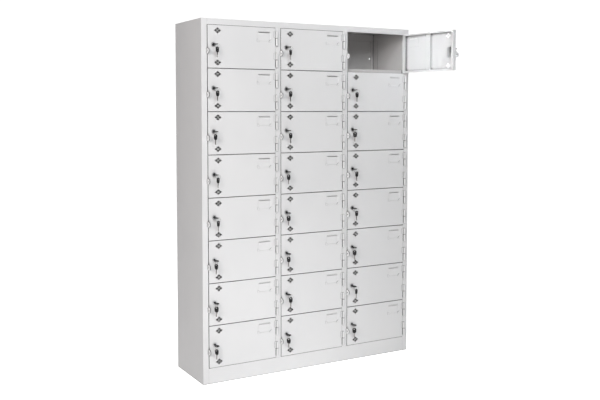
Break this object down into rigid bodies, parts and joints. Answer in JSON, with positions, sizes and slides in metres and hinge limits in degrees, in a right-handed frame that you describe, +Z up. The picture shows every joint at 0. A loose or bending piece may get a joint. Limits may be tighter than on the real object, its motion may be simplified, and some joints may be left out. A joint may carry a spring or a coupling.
{
  "type": "phone locker",
  "caption": "Free-standing steel cabinet of small hinged compartments for phones, each door with a keyed cam lock, padlock ears, rhombic vents and a card holder.",
  "frame": {"origin": "on the floor at the centre of the cabinet's footprint, without the open door", "axes": "+Z up, +Y from the doors to the back, +X to the right of a person facing the doors"},
  "size_m": [1.3103, 0.7389, 1.83],
  "materials": {
    "grey_paint": "light grey powder coat",
    "pin_steel": "bare steel",
    "lock_metal": "plated zinc",
    "key_metal": "nickel plated",
    "key_plastic": "black moulded"
  },
  "bodies": {
    "root": {"left_side_panel": "grey_paint", "right_side_panel": "grey_paint", "back_panel": "grey_paint", "top_panel": "grey_paint", "bottom_panel": "grey_paint", "plinth": "grey_paint", "base_centre_rail": "grey_paint", "partitions": "grey_paint", "shelves": "grey_paint", "frame_hinge_knuckles": "grey_paint", "hinge_pins": "pin_steel", "frame_padlock_ears": "grey_paint"},
    "door_a1": {"door_a1": "grey_paint"},
    "lock_a1": {"lock_a1": "lock_metal"},
    "door_a2": {"door_a2": "grey_paint"},
    "lock_a2": {"lock_a2": "lock_metal"},
    "door_a3": {"door_a3": "grey_paint"},
    "lock_a3": {"lock_a3": "lock_metal"},
    "door_a4": {"door_a4": "grey_paint"},
    "lock_a4": {"lock_a4": "lock_metal"},
    "door_a5": {"door_a5": "grey_paint"},
    "lock_a5": {"lock_a5": "lock_metal"},
    "door_a6": {"door_a6": "grey_paint"},
    "lock_a6": {"lock_a6": "lock_metal"},
    "door_a7": {"door_a7": "grey_paint"},
    "lock_a7": {"lock_a7": "lock_metal"},
    "door_a8": {"door_a8": "grey_paint"},
    "lock_a8": {"lock_a8": "lock_metal"},
    "door_b1": {"door_b1": "grey_paint"},
    "lock_b1": {"lock_b1": "lock_metal"},
    "door_b2": {"door_b2": "grey_paint"},
    "lock_b2": {"lock_b2": "lock_metal"},
    "door_b3": {"door_b3": "grey_paint"},
    "lock_b3": {"lock_b3": "lock_metal"},
    "door_b4": {"door_b4": "grey_paint"},
    "lock_b4": {"lock_b4": "lock_metal"},
    "door_b5": {"door_b5": "grey_paint"},
    "lock_b5": {"lock_b5": "lock_metal"},
    "door_b6": {"door_b6": "grey_paint"},
    "lock_b6": {"lock_b6": "lock_metal"},
    "door_b7": {"door_b7": "grey_paint"},
    "lock_b7": {"lock_b7": "lock_metal"},
    "door_b8": {"door_b8": "grey_paint"},
    "lock_b8": {"lock_b8": "lock_metal"},
    "door_c1": {"door_c1": "grey_paint"},
    "lock_c1": {"lock_c1": "lock_metal"},
    "door_c2": {"door_c2": "grey_paint"},
    "lock_c2": {"lock_c2": "lock_metal"},
    "door_c3": {"door_c3": "grey_paint"},
    "lock_c3": {"lock_c3": "lock_metal"},
    "door_c4": {"door_c4": "grey_paint"},
    "lock_c4": {"lock_c4": "lock_metal"},
    "door_c5": {"door_c5": "grey_paint"},
    "lock_c5": {"lock_c5": "lock_metal"},
    "door_c6": {"door_c6": "grey_paint"},
    "lock_c6": {"lock_c6": "lock_metal"},
    "door_c7": {"door_c7": "grey_paint"},
    "lock_c7": {"lock_c7": "lock_metal"},
    "door_c8": {"door_c8": "grey_paint"},
    "lock_c8": {"lock_c8": "lock_metal"}
  },
  "joints": [
    {"name": "door_a1_hinge", "type": "hinge", "parent": "root", "child": "door_a1", "pos_m": [-0.2137, -0.1807, 1.6925], "axis": [0, 0, 1], "range_deg": [0, 110]},
    {"name": "door_a2_hinge", "type": "hinge", "parent": "root", "child": "door_a2", "pos_m": [-0.2137, -0.1807, 1.4775], "axis": [0, 0, 1], "range_deg": [0, 110]},
    {"name": "door_a3_hinge", "type": "hinge", "parent": "root", "child": "door_a3", "pos_m": [-0.2137, -0.1807, 1.2625], "axis": [0, 0, 1], "range_deg": [0, 110]},
    {"name": "door_a4_hinge", "type": "hinge", "parent": "root", "child": "door_a4", "pos_m": [-0.2137, -0.1807, 1.0475], "axis": [0, 0, 1], "range_deg": [0, 110]},
    {"name": "door_a5_hinge", "type": "hinge", "parent": "root", "child": "door_a5", "pos_m": [-0.2137, -0.1807, 0.8325], "axis": [0, 0, 1], "range_deg": [0, 110]},
    {"name": "door_a6_hinge", "type": "hinge", "parent": "root", "child": "door_a6", "pos_m": [-0.2137, -0.1807, 0.6175], "axis": [0, 0, 1], "range_deg": [0, 110]},
    {"name": "door_a7_hinge", "type": "hinge", "parent": "root", "child": "door_a7", "pos_m": [-0.2137, -0.1807, 0.4025], "axis": [0, 0, 1], "range_deg": [0, 110]},
    {"name": "door_a8_hinge", "type": "hinge", "parent": "root", "child": "door_a8", "pos_m": [-0.2137, -0.1807, 0.1875], "axis": [0, 0, 1], "range_deg": [0, 110]},
    {"name": "door_b1_hinge", "type": "hinge", "parent": "root", "child": "door_b1", "pos_m": [0.1963, -0.1807, 1.6925], "axis": [0, 0, 1], "range_deg": [0, 110]},
    {"name": "door_b2_hinge", "type": "hinge", "parent": "root", "child": "door_b2", "pos_m": [0.1963, -0.1807, 1.4775], "axis": [0, 0, 1], "range_deg": [0, 110]},
    {"name": "door_b3_hinge", "type": "hinge", "parent": "root", "child": "door_b3", "pos_m": [0.1963, -0.1807, 1.2625], "axis": [0, 0, 1], "range_deg": [0, 110]},
    {"name": "door_b4_hinge", "type": "hinge", "parent": "root", "child": "door_b4", "pos_m": [0.1963, -0.1807, 1.0475], "axis": [0, 0, 1], "range_deg": [0, 110]},
    {"name": "door_b5_hinge", "type": "hinge", "parent": "root", "child": "door_b5", "pos_m": [0.1963, -0.1807, 0.8325], "axis": [0, 0, 1], "range_deg": [0, 110]},
    {"name": "door_b6_hinge", "type": "hinge", "parent": "root", "child": "door_b6", "pos_m": [0.1963, -0.1807, 0.6175], "axis": [0, 0, 1], "range_deg": [0, 110]},
    {"name": "door_b7_hinge", "type": "hinge", "parent": "root", "child": "door_b7", "pos_m": [0.1963, -0.1807, 0.4025], "axis": [0, 0, 1], "range_deg": [0, 110]},
    {"name": "door_b8_hinge", "type": "hinge", "parent": "root", "child": "door_b8", "pos_m": [0.1963, -0.1807, 0.1875], "axis": [0, 0, 1], "range_deg": [0, 110]},
    {"name": "door_c1_hinge", "type": "hinge", "parent": "root", "child": "door_c1", "pos_m": [0.6063, -0.1807, 1.6925], "axis": [0, 0, 1], "range_deg": [-97, 13]},
    {"name": "door_c2_hinge", "type": "hinge", "parent": "root", "child": "door_c2", "pos_m": [0.6063, -0.1807, 1.4775], "axis": [0, 0, 1], "range_deg": [0, 110]},
    {"name": "door_c3_hinge", "type": "hinge", "parent": "root", "child": "door_c3", "pos_m": [0.6063, -0.1807, 1.2625], "axis": [0, 0, 1], "range_deg": [0, 110]},
    {"name": "door_c4_hinge", "type": "hinge", "parent": "root", "child": "door_c4", "pos_m": [0.6063, -0.1807, 1.0475], "axis": [0, 0, 1], "range_deg": [0, 110]},
    {"name": "door_c5_hinge", "type": "hinge", "parent": "root", "child": "door_c5", "pos_m": [0.6063, -0.1807, 0.8325], "axis": [0, 0, 1], "range_deg": [0, 110]},
    {"name": "door_c6_hinge", "type": "hinge", "parent": "root", "child": "door_c6", "pos_m": [0.6063, -0.1807, 0.6175], "axis": [0, 0, 1], "range_deg": [0, 110]},
    {"name": "door_c7_hinge", "type": "hinge", "parent": "root", "child": "door_c7", "pos_m": [0.6063, -0.1807, 0.4025], "axis": [0, 0, 1], "range_deg": [0, 110]},
    {"name": "door_c8_hinge", "type": "hinge", "parent": "root", "child": "door_c8", "pos_m": [0.6063, -0.1807, 0.1875], "axis": [0, 0, 1], "range_deg": [0, 110]},
    {"name": "lock_a1_turn", "type": "hinge", "parent": "door_a1", "child": "lock_a1", "pos_m": [-0.5656, -0.175, 1.702], "axis": [0, 1, 0], "range_deg": [0, 90]},
    {"name": "lock_a2_turn", "type": "hinge", "parent": "door_a2", "child": "lock_a2", "pos_m": [-0.5656, -0.175, 1.487], "axis": [0, 1, 0], "range_deg": [0, 90]},
    {"name": "lock_a3_turn", "type": "hinge", "parent": "door_a3", "child": "lock_a3", "pos_m": [-0.5656, -0.175, 1.272], "axis": [0, 1, 0], "range_deg": [0, 90]},
    {"name": "lock_a4_turn", "type": "hinge", "parent": "door_a4", "child": "lock_a4", "pos_m": [-0.5656, -0.175, 1.057], "axis": [0, 1, 0], "range_deg": [0, 90]},
    {"name": "lock_a5_turn", "type": "hinge", "parent": "door_a5", "child": "lock_a5", "pos_m": [-0.5656, -0.175, 0.842], "axis": [0, 1, 0], "range_deg": [0, 90]},
    {"name": "lock_a6_turn", "type": "hinge", "parent": "door_a6", "child": "lock_a6", "pos_m": [-0.5656, -0.175, 0.627], "axis": [0, 1, 0], "range_deg": [0, 90]},
    {"name": "lock_a7_turn", "type": "hinge", "parent": "door_a7", "child": "lock_a7", "pos_m": [-0.5656, -0.175, 0.412], "axis": [0, 1, 0], "range_deg": [0, 90]},
    {"name": "lock_a8_turn", "type": "hinge", "parent": "door_a8", "child": "lock_a8", "pos_m": [-0.5656, -0.175, 0.197], "axis": [0, 1, 0], "range_deg": [0, 90]},
    {"name": "lock_b1_turn", "type": "hinge", "parent": "door_b1", "child": "lock_b1", "pos_m": [-0.1556, -0.175, 1.702], "axis": [0, 1, 0], "range_deg": [0, 90]},
    {"name": "lock_b2_turn", "type": "hinge", "parent": "door_b2", "child": "lock_b2", "pos_m": [-0.1556, -0.175, 1.487], "axis": [0, 1, 0], "range_deg": [0, 90]},
    {"name": "lock_b3_turn", "type": "hinge", "parent": "door_b3", "child": "lock_b3", "pos_m": [-0.1556, -0.175, 1.272], "axis": [0, 1, 0], "range_deg": [0, 90]},
    {"name": "lock_b4_turn", "type": "hinge", "parent": "door_b4", "child": "lock_b4", "pos_m": [-0.1556, -0.175, 1.057], "axis": [0, 1, 0], "range_deg": [0, 90]},
    {"name": "lock_b5_turn", "type": "hinge", "parent": "door_b5", "child": "lock_b5", "pos_m": [-0.1556, -0.175, 0.842], "axis": [0, 1, 0], "range_deg": [0, 90]},
    {"name": "lock_b6_turn", "type": "hinge", "parent": "door_b6", "child": "lock_b6", "pos_m": [-0.1556, -0.175, 0.627], "axis": [0, 1, 0], "range_deg": [0, 90]},
    {"name": "lock_b7_turn", "type": "hinge", "parent": "door_b7", "child": "lock_b7", "pos_m": [-0.1556, -0.175, 0.412], "axis": [0, 1, 0], "range_deg": [0, 90]},
    {"name": "lock_b8_turn", "type": "hinge", "parent": "door_b8", "child": "lock_b8", "pos_m": [-0.1556, -0.175, 0.197], "axis": [0, 1, 0], "range_deg": [0, 90]},
    {"name": "lock_c1_turn", "type": "hinge", "parent": "door_c1", "child": "lock_c1", "pos_m": [0.64353, -0.53067, 1.702], "axis": [-0.9925, -0.1219, 0], "range_deg": [0, 90]},
    {"name": "lock_c2_turn", "type": "hinge", "parent": "door_c2", "child": "lock_c2", "pos_m": [0.2544, -0.175, 1.487], "axis": [0, 1, 0], "range_deg": [0, 90]},
    {"name": "lock_c3_turn", "type": "hinge", "parent": "door_c3", "child": "lock_c3", "pos_m": [0.2544, -0.175, 1.272], "axis": [0, 1, 0], "range_deg": [0, 90]},
    {"name": "lock_c4_turn", "type": "hinge", "parent": "door_c4", "child": "lock_c4", "pos_m": [0.2544, -0.175, 1.057], "axis": [0, 1, 0], "range_deg": [0, 90]},
    {"name": "lock_c5_turn", "type": "hinge", "parent": "door_c5", "child": "lock_c5", "pos_m": [0.2544, -0.175, 0.842], "axis": [0, 1, 0], "range_deg": [0, 90]},
    {"name": "lock_c6_turn", "type": "hinge", "parent": "door_c6", "child": "lock_c6", "pos_m": [0.2544, -0.175, 0.627], "axis": [0, 1, 0], "range_deg": [0, 90]},
    {"name": "lock_c7_turn", "type": "hinge", "parent": "door_c7", "child": "lock_c7", "pos_m": [0.2544, -0.175, 0.412], "axis": [0, 1, 0], "range_deg": [0, 90]},
    {"name": "lock_c8_turn", "type": "hinge", "parent": "door_c8", "child": "lock_c8", "pos_m": [0.2544, -0.175, 0.197], "axis": [0, 1, 0], "range_deg": [0, 90]}
  ]
}
